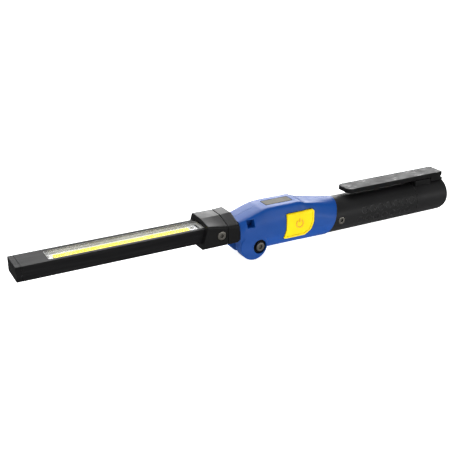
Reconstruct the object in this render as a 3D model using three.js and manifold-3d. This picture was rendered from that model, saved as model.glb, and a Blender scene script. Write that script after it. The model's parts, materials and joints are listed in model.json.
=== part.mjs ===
// Slim folding work light: a flat LED blade on a swivelling collar, a friction hinge
// under the nose of a blue switch housing, and a round battery grip with a sprung clip.
// Millimetres, +Z up. The lamp lies along X with the blade tip at -X and the LEDs facing up.
// The origin is the bottom centre of the bounding box of the straight, unfolded lamp.

import * as THREE from 'three';
import { mergeVertices } from 'three/addons/utils/BufferGeometryUtils.js';
import Module from 'manifold-3d';

const wasm = await Module();
wasm.setup();

// ---- Driving dimensions -------------------------------------------------------------
// Lengths along X are measured from the fold axis, heights from the grip's centre line.

const TIP_X = -177.7; // free end of the blade
const REAR_X = 181.4; // rear end of the grip
const CLEAR = 0.3; // gap between neighbouring pieces

const BLADE = { width: 21.3, top: 13.7, bottom: 3.1, wall: 2.1, root: -35.2 };
const WINDOW = { start: -155, end: -42, halfWidth: 7.2 };
const STRIP = { start: -150, end: -51, halfWidth: 2.8 };
const BLADE_AXIS_Z = 8.4; // the blade swivels about this line

const COLLAR = { front: -44.6, rear: -26.6, halfWidth: 13.9, halfHeight: 9.3, lean: 0.28 };
const NECK = { front: -26.2, rear: -16.6, halfWidth: 13.5, halfHeight: 9.3, rise: 0.7 };
const SPIGOT = { radius: 6.5, end: -34.4, groove: -31.5 };

const PIVOT_Z = -7.7; // height of the fold axis, at X = 0
const TONGUE_HALF = 4.5; // half thickness of the hinge tongue
const EAR_INNER = 5.5; // inner face of each clevis ear
const KNUCKLE_R = 8.2;
const NOSE = { x: -4.6, z: -6.2, radius: 11.2 };
const SIDE_Y = 14; // flat sides of the housing

const HOUSING = { front: -15.8, rear: 73, wall: 2.2, cavity: 19.1 };
const SEAM = { x: 66.3, lean: 0.36, gap: 0.4 }; // housing meets grip at x + lean * z
const TOP_WINDOW = { start: 10, end: 33.5, halfWidth: 4.7, top: 20.1 };
const BUTTON = { proud: 14.6, left: 20.3, right: 46.7, low: -5.7, high: 13.3 };
const HEAD_PROUD = 14.6; // outer face of the pivot screw and nut

const GRIP = { end: 148, radius: 14, bore: 11.2, spigot: 12 };
const CELL = { start: 74.6, length: 65.2, radius: 9.1 };
const CLIP = {
  tip: 82.5, base: 150, tail: 178, halfWidth: 7.8, low: 16.9, high: 20.5,
  skirt: 1.3, tipRound: 4.6, tailRound: 1.6,
};
const CLIP_PIN = { x: 164, z: 15.5, radius: 0.7 };

// ---- Colours ------------------------------------------------------------------------

const finish = (color, roughness, metalness = 0, extra = {}) =>
  new THREE.MeshStandardMaterial({ color, roughness, metalness, ...extra });

const MATERIAL = {
  blade: () => finish(0x1c1c1e, 0.42, 0.3),
  blackPlastic: () => finish(0x19191b, 0.55),
  gripRubber: () => finish(0x202022, 0.75),
  blue: () => finish(0x1f4fb0, 0.38),
  yellow: () => finish(0xf6c915, 0.4),
  phosphor: () => finish(0xf7e01a, 0.6),
  board: () => finish(0xdcdedb, 0.35, 0.3),
  clear: () => finish(0xeef2f5, 0.08, 0, { transparent: true, opacity: 0.35 }),
  smoked: () => finish(0x6a6656, 0.2),
  steel: () => finish(0x9da0a4, 0.3, 1),
  darkSteel: () => finish(0x35373b, 0.35, 1),
  brass: () => finish(0xb89a4d, 0.35, 1),
  circuit: () => finish(0x1f5a38, 0.5),
  cell: () => finish(0x3f7f86, 0.4),
  magnet: () => finish(0xa9abad, 0.28, 1),
  seal: () => finish(0x101010, 0.8),
};

// ---- Solid helpers ------------------------------------------------------------------

function solid(geometry) {
  const bare = geometry.index ? geometry.toNonIndexed() : geometry.clone();
  bare.deleteAttribute('normal');
  bare.deleteAttribute('uv');
  const merged = mergeVertices(bare, 1e-4);
  const mesh = new wasm.Mesh({
    numProp: 3,
    vertProperties: new Float32Array(merged.attributes.position.array),
    triVerts: new Uint32Array(merged.index.array),
  });
  return new wasm.Manifold(mesh);
}

// Points closer than a thousandth are one point, and triangles that this flattens go.
function toGeometry(manifold) {
  const mesh = manifold.getMesh();
  const raw = new THREE.BufferGeometry();
  raw.setAttribute('position', new THREE.BufferAttribute(mesh.vertProperties, 3));
  raw.setIndex(new THREE.BufferAttribute(mesh.triVerts, 1));
  const geometry = mergeVertices(raw, 1e-3);
  const index = geometry.index.array;
  const kept = [];
  for (let i = 0; i < index.length; i += 3) {
    const [a, b, c] = index.slice(i, i + 3);
    if (a !== b && b !== c && c !== a) kept.push(a, b, c);
  }
  geometry.setIndex(kept);
  geometry.computeVertexNormals();
  return geometry;
}

const union = (...solids) => solids.reduce((sum, next) => sum.add(next));
const cut = (body, ...tools) => tools.reduce((left, tool) => left.subtract(tool), body);

function box([x0, x1], [y0, y1], [z0, z1]) {
  const geometry = new THREE.BoxGeometry(x1 - x0, y1 - y0, z1 - z0);
  return solid(geometry.translate((x0 + x1) / 2, (y0 + y1) / 2, (z0 + z1) / 2));
}

function rodX(radius, [x0, x1], [y, z] = [0, 0], sides = 24) {
  const geometry = new THREE.CylinderGeometry(radius, radius, x1 - x0, sides);
  return solid(geometry.rotateZ(Math.PI / 2).translate((x0 + x1) / 2, y, z));
}

function rodY(radius, [y0, y1], [x, z] = [0, 0], sides = 24) {
  const geometry = new THREE.CylinderGeometry(radius, radius, y1 - y0, sides);
  return solid(geometry.translate(x, (y0 + y1) / 2, z));
}

// Turned piece about the X axis from [x, radius] points, closed on the axis.
function turnedX(points, sides = 36) {
  const profile = points.map(([x, r]) => new THREE.Vector2(r, x));
  return solid(new THREE.LatheGeometry(profile, sides).rotateZ(-Math.PI / 2));
}

function outline(points) {
  return new THREE.Shape(points.map(([a, b]) => new THREE.Vector2(a, b)));
}

// Side-view outline (x, z) with thickness along Y and softened edges.
function sidePlate(shape, [y0, y1], bevel = 0, curveSegments = 7) {
  const geometry = new THREE.ExtrudeGeometry(shape, {
    depth: y1 - y0 - 2 * bevel,
    bevelEnabled: bevel > 0,
    bevelThickness: bevel,
    bevelSize: bevel,
    bevelOffset: -bevel,
    bevelSegments: 1,
    curveSegments,
  });
  return solid(geometry.rotateX(Math.PI / 2).translate(0, y1 - bevel, 0));
}

// Plan-view outline (x, y) with thickness along Z and softened edges.
function topPlate(shape, [z0, z1], bevel = 0) {
  const geometry = new THREE.ExtrudeGeometry(shape, {
    depth: z1 - z0 - 2 * bevel,
    bevelEnabled: bevel > 0,
    bevelThickness: bevel,
    bevelSize: bevel,
    bevelOffset: -bevel,
    bevelSegments: 1,
    curveSegments: 3,
  });
  return solid(geometry.translate(0, 0, z0 + bevel));
}

// End-view outline (y, z) run along X with softened ends.
function barX(shape, [x0, x1], bevel = 0) {
  const geometry = new THREE.ExtrudeGeometry(shape, {
    depth: x1 - x0 - 2 * bevel,
    bevelEnabled: bevel > 0,
    bevelThickness: bevel,
    bevelSize: bevel,
    bevelOffset: -bevel,
    bevelSegments: 1,
    curveSegments: 2,
  });
  geometry.rotateX(Math.PI / 2).rotateZ(Math.PI / 2);
  return solid(geometry.translate(x0 + bevel, 0, 0));
}

function roundedRect([a0, a1], [b0, b1], radius) {
  const shape = new THREE.Shape();
  shape.moveTo(a0 + radius, b0);
  shape.lineTo(a1 - radius, b0);
  shape.absarc(a1 - radius, b0 + radius, radius, -Math.PI / 2, 0);
  shape.lineTo(a1, b1 - radius);
  shape.absarc(a1 - radius, b1 - radius, radius, 0, Math.PI / 2);
  shape.lineTo(a0 + radius, b1);
  shape.absarc(a0 + radius, b1 - radius, radius, Math.PI / 2, Math.PI);
  shape.lineTo(a0, b0 + radius);
  shape.absarc(a0 + radius, b0 + radius, radius, Math.PI, 1.5 * Math.PI);
  return shape;
}

function hexPrismY(acrossFlats, yRange, centre) {
  return rodY(acrossFlats / Math.sqrt(3), yRange, centre, 6);
}

// Tube whose outline at each station comes from reach(x, angle), angle 0 at +Y, 90 deg at +Z.
function loftX([x0, x1], steps, sides, reach, [cy, cz] = [0, 0]) {
  const geometry = new THREE.CylinderGeometry(1, 1, x1 - x0, sides, steps);
  geometry.rotateZ(Math.PI / 2).translate((x0 + x1) / 2, 0, 0);
  const position = geometry.attributes.position;
  for (let i = 0; i < position.count; i += 1) {
    const x = position.getX(i);
    const radius = Math.hypot(position.getY(i), position.getZ(i));
    const angle = Math.atan2(position.getZ(i), position.getY(i));
    const length = radius < 0.5 ? 0 : reach(x, angle);
    position.setXYZ(i, x, cy + length * Math.cos(angle), cz + length * Math.sin(angle));
  }
  return solid(geometry);
}

function coil({ radius, wire, turns, length, steps }) {
  class Helix extends THREE.Curve {
    getPoint(t) {
      const angle = 2 * Math.PI * turns * t;
      return new THREE.Vector3(radius * Math.cos(angle), radius * Math.sin(angle), length * t);
    }
  }
  const section = new THREE.Shape().absarc(0, 0, wire, 0, 2 * Math.PI);
  return new THREE.ExtrudeGeometry(section, {
    steps,
    curveSegments: 2,
    extrudePath: new Helix(),
  });
}

// ---- Section of the blue housing ----------------------------------------------------

// Each station: x, top height, half width of the top face, height of the shoulder line,
// half width of the sides, radius underneath, how far it has become a plain circle, and how
// much the top face falls away towards its edges.
const STATIONS = [
  { x: -15.8, top: 13.3, flat: 9.6, shoulder: 6, side: 12.6, belly: 13.6, round: 0, crown: 0.04 },
  { x: -12, top: 14.6, flat: 10.2, shoulder: 7, side: 14, belly: 14, round: 0, crown: 0.04 },
  { x: -3, top: 17.5, flat: 10.6, shoulder: 9, side: 14, belly: 14, round: 0, crown: 0.04 },
  { x: 4, top: 19.5, flat: 10.6, shoulder: 10, side: 14, belly: 14, round: 0, crown: 0.04 },
  { x: 10, top: 20.1, flat: 10.5, shoulder: 10, side: 14, belly: 14, round: 0, crown: 0.04 },
  { x: 37, top: 20.1, flat: 10.5, shoulder: 10, side: 14, belly: 14.1, round: 0, crown: 0.04 },
  { x: 41, top: 18.3, flat: 10.2, shoulder: 9, side: 14, belly: 14.2, round: 0, crown: 0.06 },
  { x: 56, top: 16.6, flat: 9.1, shoulder: 5.5, side: 14.3, belly: 14.4, round: 0.08, crown: 0.32 },
  { x: 70, top: 14.8, flat: 7.9, shoulder: 2, side: 14.7, belly: 14.8, round: 0.15, crown: 0.57 },
];

function stationAt(x) {
  const last = STATIONS.length - 1;
  const next = Math.min(Math.max(STATIONS.findIndex((station) => station.x >= x), 1), last);
  const a = STATIONS[x > STATIONS[last].x ? last - 1 : next - 1];
  const b = STATIONS[x > STATIONS[last].x ? last : next];
  const t = Math.min(Math.max((x - a.x) / (b.x - a.x), 0), 1);
  const mix = (key) => a[key] + (b[key] - a[key]) * t;
  return Object.fromEntries(Object.keys(a).map((key) => [key, mix(key)]));
}

// Distance from the centre line to the skin, from the flat faces that bound the section.
// A high power keeps the edges between the faces crisp.
function housingReach(x, angle, inset = 0) {
  const { top, flat, shoulder, side, belly, round, crown } = stationAt(x);
  const slope = Math.atan2(side - flat, top - shoulder);
  const slant = side * Math.cos(slope) + shoulder * Math.sin(slope);
  const c = Math.abs(Math.cos(angle));
  const s = Math.sin(angle);
  const faces = [
    Math.max(s, 0) / ((top - inset) * (1 - crown * c * c)),
    Math.max(c * Math.cos(slope) + s * Math.sin(slope), 0) / (slant - inset),
    c / (side - inset),
  ];
  const power = 22;
  const upper = faces.reduce((sum, face) => sum + face ** power, 0) ** (-1 / power);
  const faceted = s < 0 ? Math.min(upper, belly - inset) : upper;
  return faceted + (belly - inset - faceted) * round;
}

// ---- Blade --------------------------------------------------------------------------

function bladeChannel() {
  const half = BLADE.width / 2;
  const bar = barX(roundedRect([-half, half], [BLADE.bottom, BLADE.top], 0.8), [-173.9, BLADE.root]);
  const inside = half - BLADE.wall;
  const hollow = box([-180, 0], [-inside, inside], [BLADE.bottom + 2, BLADE.top - 1.6]);
  const opening = box(
    [WINDOW.start, WINDOW.end + 2],
    [-WINDOW.halfWidth, WINDOW.halfWidth],
    [BLADE.bottom + 4, BLADE.top + 1],
  );
  return cut(bar, hollow, opening);
}

function bladeTip() {
  const half = BLADE.width / 2;
  const cap = barX(roundedRect([-half, half], [BLADE.bottom, BLADE.top], 1.1), [TIP_X, -174.2], 0.8);
  const plug = box([-175.5, -167], [-half + 2.5, half - 2.5], [BLADE.bottom + 2.4, BLADE.top - 2]);
  return union(cap, plug);
}

const ledBoard = () => box([-165.5, -44], [-8.1, 8.1], [9, 10.6]);

function phosphorStrip() {
  const shape = roundedRect([STRIP.start, STRIP.end], [-STRIP.halfWidth, STRIP.halfWidth], 1);
  return topPlate(shape, [10.9, 11.6], 0.2);
}

function bladeLens() {
  const reach = WINDOW.halfWidth - CLEAR;
  const shape = roundedRect([WINDOW.start + CLEAR, WINDOW.end - CLEAR], [-reach, reach], 0.8);
  return topPlate(shape, [12.4, 13.4], 0.2);
}

// ---- Collar and neck ----------------------------------------------------------------

// Boxy section about the blade's axis. One top edge, and the bottom edge opposite, are cut
// away by a face that grows steeper rearwards, so the head looks the same after half a turn.
function headReach(x, angle, halfWidth, halfHeight) {
  const slope = 0.13 + 0.011 * (x - COLLAR.front);
  const c = Math.cos(angle);
  const s = Math.sin(angle);
  const fall = c * s < 0 ? Math.abs(c) * slope : 0;
  const across = Math.abs(c) / halfWidth;
  const up = (Math.abs(s) + fall) / halfHeight;
  const power = 22;
  return (across ** power + up ** power) ** (-1 / power);
}

function collar() {
  const { front, rear, halfWidth, halfHeight, lean } = COLLAR;
  const reach = (x, angle) => {
    const t = (x - front) / (rear - front);
    return headReach(x, angle, halfWidth - 0.3 * t, halfHeight);
  };
  const body = loftX([front - 3, rear], 4, 64, reach, [0, BLADE_AXIS_Z]);
  const [below, above] = [BLADE_AXIS_Z - 12, BLADE_AXIS_Z + 12];
  const face = [[front + 12 * lean, above], [front - 12 * lean, below]];
  const ahead = sidePlate(outline([...face, [front - 20, below], [front - 20, above]]), [-20, 20]);
  const half = BLADE.width / 2 + CLEAR;
  const pocketHeight = [BLADE.bottom - CLEAR, BLADE.top + CLEAR];
  const pocket = box([front - 4, SPIGOT.end - CLEAR], [-half, half], pocketHeight);
  const bore = rodX(SPIGOT.radius + 0.1, [front, rear + 1], [0, BLADE_AXIS_Z]);
  const seats = [-1, 1].map((side) => union(
    rodY(3.8, side < 0 ? [-20, -11.5] : [11.5, 20], [SPIGOT.groove, 7]),
    rodY(1.9, side < 0 ? [-20, -5] : [5, 20], [SPIGOT.groove, 7]),
  ));
  return cut(body, ahead, pocket, bore, ...seats);
}

// The screw holds the collar on the neck: its tip runs in the spigot's groove.
function collarScrew(side) {
  const head = rodY(3.4, [-13.6, -11.8], [0, 0], 28);
  const shank = rodY(1.6, [-12, -6.05], [0, 0], 16);
  const socket = hexPrismY(2.5, [-14, -12.7], [0, 0]);
  const screw = cut(union(head, shank), socket);
  const turned = side < 0 ? screw : screw.rotate([0, 0, 180]);
  return turned.translate([SPIGOT.groove, 0, 7]);
}

// Where on the knuckle a line from the point (x, z) touches it, on one side or the other.
function tangentAngle([x, z], side) {
  const rise = z - PIVOT_Z;
  return Math.atan2(rise, x) + side * Math.acos(KNUCKLE_R / Math.hypot(x, rise));
}

// Side view of the tongue: a straight arm that runs down tangent to the round knuckle.
function tongueOutline() {
  const upper = [NECK.rear - 1, 11];
  const lower = [NECK.rear - 1, 1.2];
  const shape = new THREE.Shape();
  shape.moveTo(...upper);
  shape.lineTo(...lower);
  const start = tangentAngle(lower, 1);
  const end = tangentAngle(upper, -1) + 2 * Math.PI;
  shape.absarc(0, PIVOT_Z, KNUCKLE_R, start, end, false);
  shape.closePath();
  return shape;
}

function hingeArm() {
  const { front, rear, halfWidth, halfHeight, rise } = NECK;
  const reach = (x, angle) => {
    const fade = Math.max(0, (x - rear + 2) / 2);
    const trim = 1.4 * fade * fade;
    const lift = angle > 0 ? rise * ((x - front) / (rear - front)) : 0;
    return headReach(x, angle, halfWidth - trim * 0.4, halfHeight + lift - trim);
  };
  const shoulder = loftX([front, rear], 6, 64, reach, [0, BLADE_AXIS_Z]);
  const tongue = sidePlate(tongueOutline(), [-TONGUE_HALF, TONGUE_HALF], 0.4);
  const spigot = turnedX([
    [SPIGOT.end, 0],
    [SPIGOT.end, SPIGOT.radius - 0.5],
    [SPIGOT.end + 0.5, SPIGOT.radius],
    [SPIGOT.groove - 2.2, SPIGOT.radius],
    [SPIGOT.groove - 2.2, 5.7],
    [SPIGOT.groove + 2.2, 5.7],
    [SPIGOT.groove + 2.2, SPIGOT.radius],
    [NECK.front + 1, SPIGOT.radius],
    [NECK.front + 1, 0],
  ]).translate([0, 0, BLADE_AXIS_Z]);
  const wireWay = rodX(2.4, [SPIGOT.end - 1, -8], [0, BLADE_AXIS_Z], 20);
  const pivotBore = rodY(2.7, [-20, 20], [0, PIVOT_Z], 28);
  return cut(union(shoulder, tongue, spigot), wireWay, pivotBore);
}

// ---- Fold pivot ---------------------------------------------------------------------

function pivotScrew() {
  const head = rodY(3.35, [-HEAD_PROUD, -12.6], [0, 0], 28);
  const shank = rodY(2.2, [-13, 13.4], [0, 0], 24);
  const socket = hexPrismY(3, [-HEAD_PROUD - 1, -HEAD_PROUD + 1.3], [0, 0]);
  return cut(union(head, shank), socket).translate([0, 0, PIVOT_Z]);
}

function pivotNut() {
  const body = hexPrismY(7, [11.9, HEAD_PROUD], [0, 0]);
  return cut(body, rodY(2.45, [10, 20], [0, 0], 24)).translate([0, 0, PIVOT_Z]);
}

function ring(outer, inner, yRange) {
  return cut(rodY(outer, yRange), rodY(inner, [yRange[0] - 1, yRange[1] + 1]));
}

const pivotWasher = () => ring(5.1, 2.5, [-12.4, -11.5]).translate([0, 0, PIVOT_Z]);
const frictionWasher = (side) =>
  ring(7, 2.5, side < 0 ? [-5.3, -4.7] : [4.7, 5.3]).translate([0, 0, PIVOT_Z]);

// ---- Blue housing -------------------------------------------------------------------

function housingBody() {
  const skin = loftX([HOUSING.front, HOUSING.rear], 20, 44, (x, a) => housingReach(x, a));
  const profile = new THREE.Shape();
  profile.moveTo(90, 40);
  profile.lineTo(HOUSING.front - 0.1, 40);
  profile.lineTo(HOUSING.front - 0.1, NOSE.z);
  profile.absarc(NOSE.x, NOSE.z, NOSE.radius, Math.PI, Math.PI * 1.5, false);
  profile.lineTo(90, NOSE.z - NOSE.radius);
  profile.closePath();
  const trimmed = skin.intersect(sidePlate(profile, [-20, 20], 0, 9));
  const circle = new THREE.Shape().absarc(NOSE.x, NOSE.z, NOSE.radius, 0, 2 * Math.PI);
  return union(trimmed, sidePlate(circle, [-SIDE_Y, SIDE_Y], 1.2, 18));
}

// Everything ahead of the leaning seam, or behind it, moved along X by a given shift.
function seamSide(direction, shift) {
  const at = (z) => SEAM.x + SEAM.lean * z + shift;
  const far = SEAM.x + direction * 120;
  return sidePlate(outline([[at(-40), -40], [at(40), 40], [far, 40], [far, -40]]), [-30, 30]);
}

// Room for the tongue from straight to folded flat underneath.
function hingeSlot() {
  const y = [-EAR_INNER, EAR_INNER];
  const under = box([-30, 30], [-9, 9], [-40, PIVOT_Z - 0.37]);
  const sweep = rodY(17.9, y, [0, PIVOT_Z], 36).intersect(under);
  const pocket = rodY(11.2, y, [0, PIVOT_Z], 28);
  const low = PIVOT_Z - 1;
  const mouth = outline([[-30, 11.6], [-15.8, 11.6], [5.6, 1], [5.6, low], [-30, low]]);
  return union(sweep, pocket, sidePlate(mouth, y));
}

// Outline of the yellow button, seen from its own side: square with a swept lower corner.
function buttonShape(grow = 0) {
  const { left, right, low, high } = BUTTON;
  const shape = new THREE.Shape();
  shape.moveTo(left - grow, low - grow);
  shape.lineTo(left + 2.4 - grow, 1.5);
  shape.lineTo(left + 2.4 - grow, high + grow);
  shape.lineTo(right - 2 + grow, high + grow);
  shape.quadraticCurveTo(right + grow, high + grow, right + grow, high - 2 + grow);
  shape.lineTo(right + grow, 3.5);
  shape.quadraticCurveTo(right - 1 + grow, low + 2 - grow, right - 8, low - grow);
  shape.closePath();
  return shape;
}

function socketHole(grow = 0) {
  return roundedRect([40.4 - grow, 49.6 + grow], [-1.7 - grow, 1.7 + grow], 1.6 + grow);
}

// Square opening in the side, with a deeper pocket behind its lower part.
function snapRecess(side) {
  const mouth = box([-10.3, -4.2], side < 0 ? [-20, -11.4] : [11.4, 20], [8.3, 16]);
  const pocket = box([-10.3, -4.2], side < 0 ? [-12, -6.8] : [6.8, 12], [8.3, 14]);
  return union(mouth, pocket);
}

function housingShell(side) {
  const cavity = loftX([HOUSING.cavity, HOUSING.rear + 1], 8, 28, (x, a) =>
    housingReach(x, a, HOUSING.wall));
  const seats = [
    rodY(5.4, [-20, -11.3], [0, PIVOT_Z]),
    rodY(5.4, [11.3, 20], [0, PIVOT_Z]),
    rodY(2.4, [-20, 20], [0, PIVOT_Z], 28),
  ];
  const { start, end, halfWidth } = TOP_WINDOW;
  const topOpening = box([start, end], [-halfWidth, halfWidth], [15.4, 30]);
  const buttonHole = sidePlate(buttonShape(0.35), [-20, -5]);
  const chargeHole = sidePlate(socketHole(0.3), [5, 20]);
  const shell = cut(
    housingBody(),
    cavity,
    hingeSlot(),
    ...seats,
    topOpening,
    buttonHole,
    chargeHole,
    snapRecess(-1),
    snapRecess(1),
    seamSide(1, 0),
  );
  const half = side < 0 ? [-30, -0.1] : [0.1, 30];
  return shell.intersect(box([-60, 120], half, [-60, 60]));
}

function topWindow() {
  const { start, end, halfWidth, top } = TOP_WINDOW;
  const reach = halfWidth - CLEAR;
  return topPlate(roundedRect([start + CLEAR, end - CLEAR], [-reach, reach], 0.8), [top - 1.6, top], 0.2);
}

const indicatorBoard = () => box([10.6, 32.9], [-4.1, 4.1], [15.8, 16.9]);
const indicatorLed = (index) => box([0, 2], [-1.2, 1.2], [17.05, 17.9]).translate([13 + 5.2 * index, 0, 0]);

function powerButton() {
  const face = sidePlate(buttonShape(), [-BUTTON.proud, -12.1], 0.5);
  const stem = rodY(2, [-12.6, -8.3], [33, 3.5], 20);
  const rim = sidePlate(buttonShape(0.8), [-9.3, -8.7]);
  const flange = rim.intersect(box([0, 60], [-20, 0], [-20, 11]));
  const web = sidePlate(buttonShape(-1), [-12.4, -9]);
  return union(face, web, flange, stem);
}

const mainBoard = () => box([23, 58], [-4.4, -2.8], [-9, 9]);
const switchBody = () => box([30, 36], [-7.2, -4.6], [0.5, 6.5]);
const chargeBoard = () => box([37, 53], [4.2, 5.4], [-6, 6]);

function chargeSocket() {
  const outer = sidePlate(socketHole(), [5.7, 13.7]);
  return cut(outer, sidePlate(socketHole(-0.4), [7, 15]));
}

// ---- Grip ---------------------------------------------------------------------------

// Staggered rows of shallow hexagonal dimples over the lower half of the grip.
function gripDimples() {
  const rows = 8;
  const columns = 7;
  const pitch = 7.85;
  const dimples = [];
  for (let row = 0; row < rows; row += 1) {
    const turn = -14 + 29.7 * row;
    const shift = row % 2 ? -pitch / 2 : 0;
    for (let column = 0; column < columns; column += 1) {
      const x = 95.3 + shift + pitch * column;
      const dimple = hexPrismY(5.4, [-16, -GRIP.radius + 0.7], [0, 0]);
      dimples.push(dimple.rotate([turn, 0, 0]).translate([x, 0, 0]));
    }
  }
  return dimples;
}

function gripSleeve() {
  const { end, radius, bore, spigot } = GRIP;
  const barrel = turnedX([
    [58, 0],
    [58, radius],
    [end - 0.3, radius],
    [end, radius - 0.3],
    [end, 0],
  ], 40);
  const body = union(cut(barrel, seamSide(-1, SEAM.gap)), rodX(spigot, [57, 76], [0, 0], 40));
  const hollow = rodX(bore, [55, 160], [0, 0], 24);
  const seats = [-1, 1].map((side) => union(
    rodY(3.3, side < 0 ? [-20, -12.6] : [12.6, 20], [73.2, -1.2], 20),
    rodY(1.8, side < 0 ? [-20, -9] : [9, 20], [73.2, -1.2], 12),
  ));
  return cut(body, hollow, ...seats, ...gripDimples());
}

function gripScrew(side) {
  const head = rodY(3, [-13.9, -12.8], [0, 0], 28);
  const shank = rodY(1.5, [-13, -7.5], [0, 0], 16);
  const recess = hexPrismY(2.2, [-15, -13.1], [0, 0]);
  const screw = cut(union(head, shank), recess);
  const turned = side < 0 ? screw : screw.rotate([0, 0, 180]);
  return turned.translate([73.2, 0, -1.2]);
}

// Carrier: a plug that takes the grip screws, and a half-round tray for the cell.
function cellCarrier() {
  const plug = cut(
    rodX(10.8, [63, 77.5]),
    rodX(CELL.radius + 0.3, [72.4, 90]),
    rodY(1.7, [-20, -7], [73.2, -1.2], 20),
    rodY(1.7, [7, 20], [73.2, -1.2], 20),
    rodX(3, [60, 80], [0, 0], 20),
  );
  const tube = cut(rodX(10.8, [77, 136]), rodX(CELL.radius + 0.3, [70, 140]));
  return union(plug, tube.intersect(box([70, 140], [-20, 20], [-20, 1])));
}

function batteryCell() {
  const { start, length, radius } = CELL;
  const end = start + length;
  return turnedX([
    [start, 0],
    [start, 3],
    [start + 1.4, 3],
    [start + 1.4, radius - 0.6],
    [start + 2, radius],
    [end - 0.5, radius],
    [end, radius - 0.5],
    [end, 0],
  ], 32);
}

const frontContact = () => rodX(5, [72.7, 74.3], [0, 0], 24);

function batterySpring() {
  const geometry = coil({ radius: 4.4, wire: 0.5, turns: 3.5, length: 7.4, steps: 42 });
  return solid(geometry.rotateY(Math.PI / 2).translate(CELL.start + CELL.length + 0.8, 0, 0));
}

// ---- Rear cap and clip --------------------------------------------------------------

function rearCap() {
  const front = GRIP.end + CLEAR;
  return turnedX([
    [150, 0],
    [150, 7.6],
    [141.2, 7.6],
    [141.2, 10.6],
    [144, 10.6],
    [144, 9.5],
    [146.2, 9.5],
    [146.2, 10.6],
    [front, 10.6],
    [front, GRIP.radius - 0.3],
    [front + 0.3, GRIP.radius],
    [REAR_X - 4, GRIP.radius],
    [REAR_X - 1.2, 13.2],
    [REAR_X, 12.2],
    [REAR_X, 9.6],
    [REAR_X - 3.6, 9.6],
    [REAR_X - 3.6, 0],
  ], 32);
}

function capSeal() {
  const section = new THREE.Shape().absarc(10.2, 0, 0.6, 0, 2 * Math.PI);
  const points = section.getPoints(3).map((point) => new THREE.Vector2(point.x, point.y));
  return solid(new THREE.LatheGeometry(points, 20).rotateZ(-Math.PI / 2)).translate([145.1, 0, 0]);
}

const rearMagnet = () => rodX(9.3, [REAR_X - 3.3, REAR_X - 0.5], [0, 0], 36);

// Behind the pin the block is narrower and slopes away, so the arm's tail can sink over it.
function clipBase() {
  const { base, halfWidth, skirt } = CLIP;
  const side = outline([[base, 8], [base, 16.5], [163, 16.5], [179.6, 14.8], [179.6, 8]]);
  const body = sidePlate(side, [-halfWidth, halfWidth], 0.5);
  const inside = halfWidth - skirt - CLEAR;
  const beside = [[-20, -inside], [inside, 20]].map((span) => box([165.4, 190], span, [0, 30]));
  const lugSlot = box([160.4, 167.6], [-5.3, 5.3], [12, 20]);
  return cut(
    body,
    rodX(GRIP.radius + 0.25, [140, 190], [0, 0], 48),
    lugSlot,
    ...beside,
    rodY(CLIP_PIN.radius + 0.1, [-7, 7], [CLIP_PIN.x, CLIP_PIN.z], 16),
  );
}

// Plan view of the arm: a rounded tip and a nearly square tail.
function clipPlan() {
  const { tip, tail, halfWidth, tipRound, tailRound } = CLIP;
  const shape = new THREE.Shape();
  shape.absarc(tail - tailRound, tailRound - halfWidth, tailRound, -Math.PI / 2, 0);
  shape.absarc(tail - tailRound, halfWidth - tailRound, tailRound, 0, Math.PI / 2);
  shape.absarc(tip + tipRound, halfWidth - tipRound, tipRound, Math.PI / 2, Math.PI);
  shape.absarc(tip + tipRound, tipRound - halfWidth, tipRound, Math.PI, 1.5 * Math.PI);
  shape.closePath();
  return shape;
}

// Skirts on the tail reach down either side of the narrow part of the block.
function clipArm() {
  const { tail, halfWidth, low, high, skirt } = CLIP;
  const plate = topPlate(clipPlan(), [low, high], 0.5);
  const flank = outline([[166, low + 1], [166, 13.6], [tail - 1.6, 13.6], [tail - 1.6, low + 1]]);
  const skirts = [[-halfWidth, skirt - halfWidth], [halfWidth - skirt, halfWidth]];
  const lug = new THREE.Shape();
  const reach = 1.25;
  lug.moveTo(CLIP_PIN.x - reach, low + 1);
  lug.lineTo(CLIP_PIN.x - reach, CLIP_PIN.z);
  lug.absarc(CLIP_PIN.x, CLIP_PIN.z, reach, Math.PI, 2 * Math.PI, false);
  lug.lineTo(CLIP_PIN.x + reach, low + 1);
  lug.closePath();
  return cut(
    union(plate, sidePlate(lug, [-2, 2]), ...skirts.map((span) => sidePlate(flank, span))),
    rodY(CLIP_PIN.radius + 0.05, [-6, 6], [CLIP_PIN.x, CLIP_PIN.z], 16),
  );
}

const clipPin = () => rodY(CLIP_PIN.radius, [-6.8, 6.8], [CLIP_PIN.x, CLIP_PIN.z], 16);

function clipSpring() {
  const geometry = coil({ radius: 1.05, wire: 0.15, turns: 3, length: 2.4, steps: 30 });
  return solid(geometry.rotateX(Math.PI / 2).translate(CLIP_PIN.x, 4.8, CLIP_PIN.z));
}

// ---- Assembly -----------------------------------------------------------------------

function piece(name, body, material) {
  const mesh = new THREE.Mesh(toGeometry(body), material);
  mesh.name = name;
  return mesh;
}

const group = (...children) => new THREE.Group().add(...children);

const blade = group(
  piece('blade_channel', bladeChannel(), MATERIAL.blade()),
  piece('blade_tip', bladeTip(), MATERIAL.blackPlastic()),
  piece('led_board', ledBoard(), MATERIAL.board()),
  piece('led_strip', phosphorStrip(), MATERIAL.phosphor()),
  piece('blade_lens', bladeLens(), MATERIAL.clear()),
  piece('swivel_collar', collar(), MATERIAL.blackPlastic()),
  piece('collar_screw_near', collarScrew(-1), MATERIAL.steel()),
  piece('collar_screw_far', collarScrew(1), MATERIAL.steel()),
);

const arm = group(piece('hinge_arm', hingeArm(), MATERIAL.blackPlastic()));

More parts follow.
